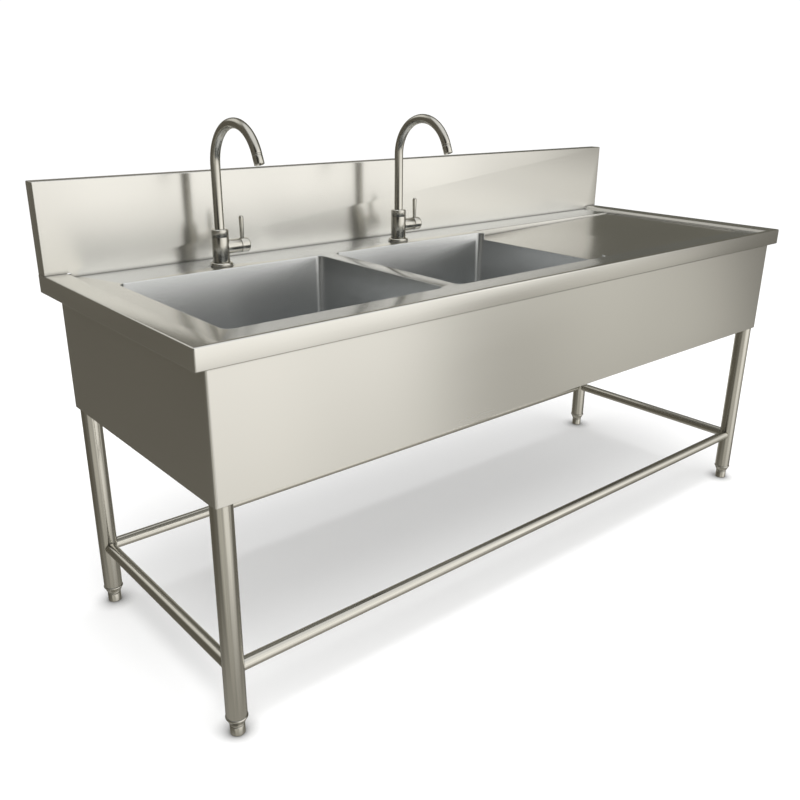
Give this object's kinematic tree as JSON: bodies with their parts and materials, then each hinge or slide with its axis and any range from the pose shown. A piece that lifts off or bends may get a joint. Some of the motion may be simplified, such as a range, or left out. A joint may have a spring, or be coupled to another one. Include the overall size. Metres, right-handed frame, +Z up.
{
  "type": "commercial sink bench",
  "caption": "Long stainless kitchen sink bench with deep bowls, a recessed drainboard, a splashback, swan-neck taps and a tube stand on adjustable feet.",
  "frame": {"origin": "on the floor, under the middle of the bench's length and depth", "axes": "+X along the bench from the bowls to the drainboard, +Y from the front to the splashback, +Z up"},
  "size_m": [1.9, 0.705, 1.1261],
  "materials": {
    "sheet": "brushed stainless sheet",
    "tube": "brushed stainless tube",
    "socket": "cut and welded stainless plate",
    "foot": "turned stainless",
    "tap": "satin stainless",
    "waste": "pressed and polished stainless",
    "nut": "machined brass",
    "rubber": "black rubber",
    "plastic": "white moulded plastic"
  },
  "bodies": {
    "bench": {"worktop": "sheet", "splashback": "sheet", "left_bowl": "sheet", "right_bowl": "sheet", "drainboard": "sheet", "drainboard_rib": "sheet", "front_apron": "sheet", "left_apron": "sheet", "right_apron": "sheet", "rear_channel": "sheet", "leg_front_left": "tube", "leg_front_right": "tube", "leg_rear_left": "tube", "leg_rear_right": "tube", "leg_socket_front_left": "socket", "leg_socket_front_right": "socket", "leg_socket_rear_left": "socket", "leg_socket_rear_right": "socket", "front_rail": "tube", "rear_rail": "tube", "left_rail": "tube", "right_rail": "tube", "foot_insert_front_left": "foot", "foot_insert_front_right": "foot", "foot_insert_rear_left": "foot", "foot_insert_rear_right": "foot", "tap_body_left": "tap", "tap_body_right": "tap", "tap_flange_left": "tap", "tap_flange_right": "tap", "tap_gasket_left": "rubber", "tap_gasket_right": "rubber", "tap_nut_left": "nut", "tap_nut_right": "nut", "valve_left": "nut", "valve_right": "nut", "waste_body_left": "waste", "waste_body_right": "waste", "waste_gasket_left": "rubber", "waste_gasket_right": "rubber", "waste_locknut_left": "plastic", "waste_locknut_right": "plastic", "tailpiece_left": "waste", "tailpiece_right": "waste", "slip_nut_left": "plastic", "slip_nut_right": "plastic"},
    "front_left_foot": {"foot_front_left": "foot"},
    "front_right_foot": {"foot_front_right": "foot"},
    "rear_left_foot": {"foot_rear_left": "foot"},
    "rear_right_foot": {"foot_rear_right": "foot"},
    "left_spout": {"spout_left": "tap", "aerator_left": "tap"},
    "right_spout": {"spout_right": "tap", "aerator_right": "tap"},
    "left_handle": {"handle_hub_left": "tap", "handle_lever_left": "tap"},
    "right_handle": {"handle_hub_right": "tap", "handle_lever_right": "tap"},
    "left_basket": {"basket_left": "waste"},
    "right_basket": {"basket_right": "waste"}
  },
  "joints": [
    {"name": "front_left_foot_height", "type": "slide", "parent": "bench", "child": "front_left_foot", "axis": [0, 0, -1], "range_m": [0, 0.025]},
    {"name": "front_right_foot_height", "type": "slide", "parent": "bench", "child": "front_right_foot", "axis": [0, 0, -1], "range_m": [0, 0.025]},
    {"name": "rear_left_foot_height", "type": "slide", "parent": "bench", "child": "rear_left_foot", "axis": [0, 0, -1], "range_m": [0, 0.025]},
    {"name": "rear_right_foot_height", "type": "slide", "parent": "bench", "child": "rear_right_foot", "axis": [0, 0, -1], "range_m": [0, 0.025]},
    {"name": "left_spout_swivel", "type": "hinge", "parent": "bench", "child": "left_spout", "pos_m": [-0.5748, 0.227, 0.863], "axis": [0, 0, 1], "continuous": true},
    {"name": "right_spout_swivel", "type": "hinge", "parent": "bench", "child": "right_spout", "pos_m": [-0.0349, 0.227, 0.863], "axis": [0, 0, 1], "continuous": true},
    {"name": "left_handle_turn", "type": "hinge", "parent": "bench", "child": "left_handle", "pos_m": [-0.5748, 0.227, 0.838], "axis": [1, 0, 0], "range_deg": [0, 90]},
    {"name": "right_handle_turn", "type": "hinge", "parent": "bench", "child": "right_handle", "pos_m": [-0.0349, 0.227, 0.838], "axis": [1, 0, 0], "range_deg": [0, 90]},
    {"name": "left_basket_lift", "type": "slide", "parent": "bench", "child": "left_basket", "axis": [0, 0, 1], "range_m": [0, 0.045]},
    {"name": "right_basket_lift", "type": "slide", "parent": "bench", "child": "right_basket", "axis": [0, 0, 1], "range_m": [0, 0.045]}
  ]
}
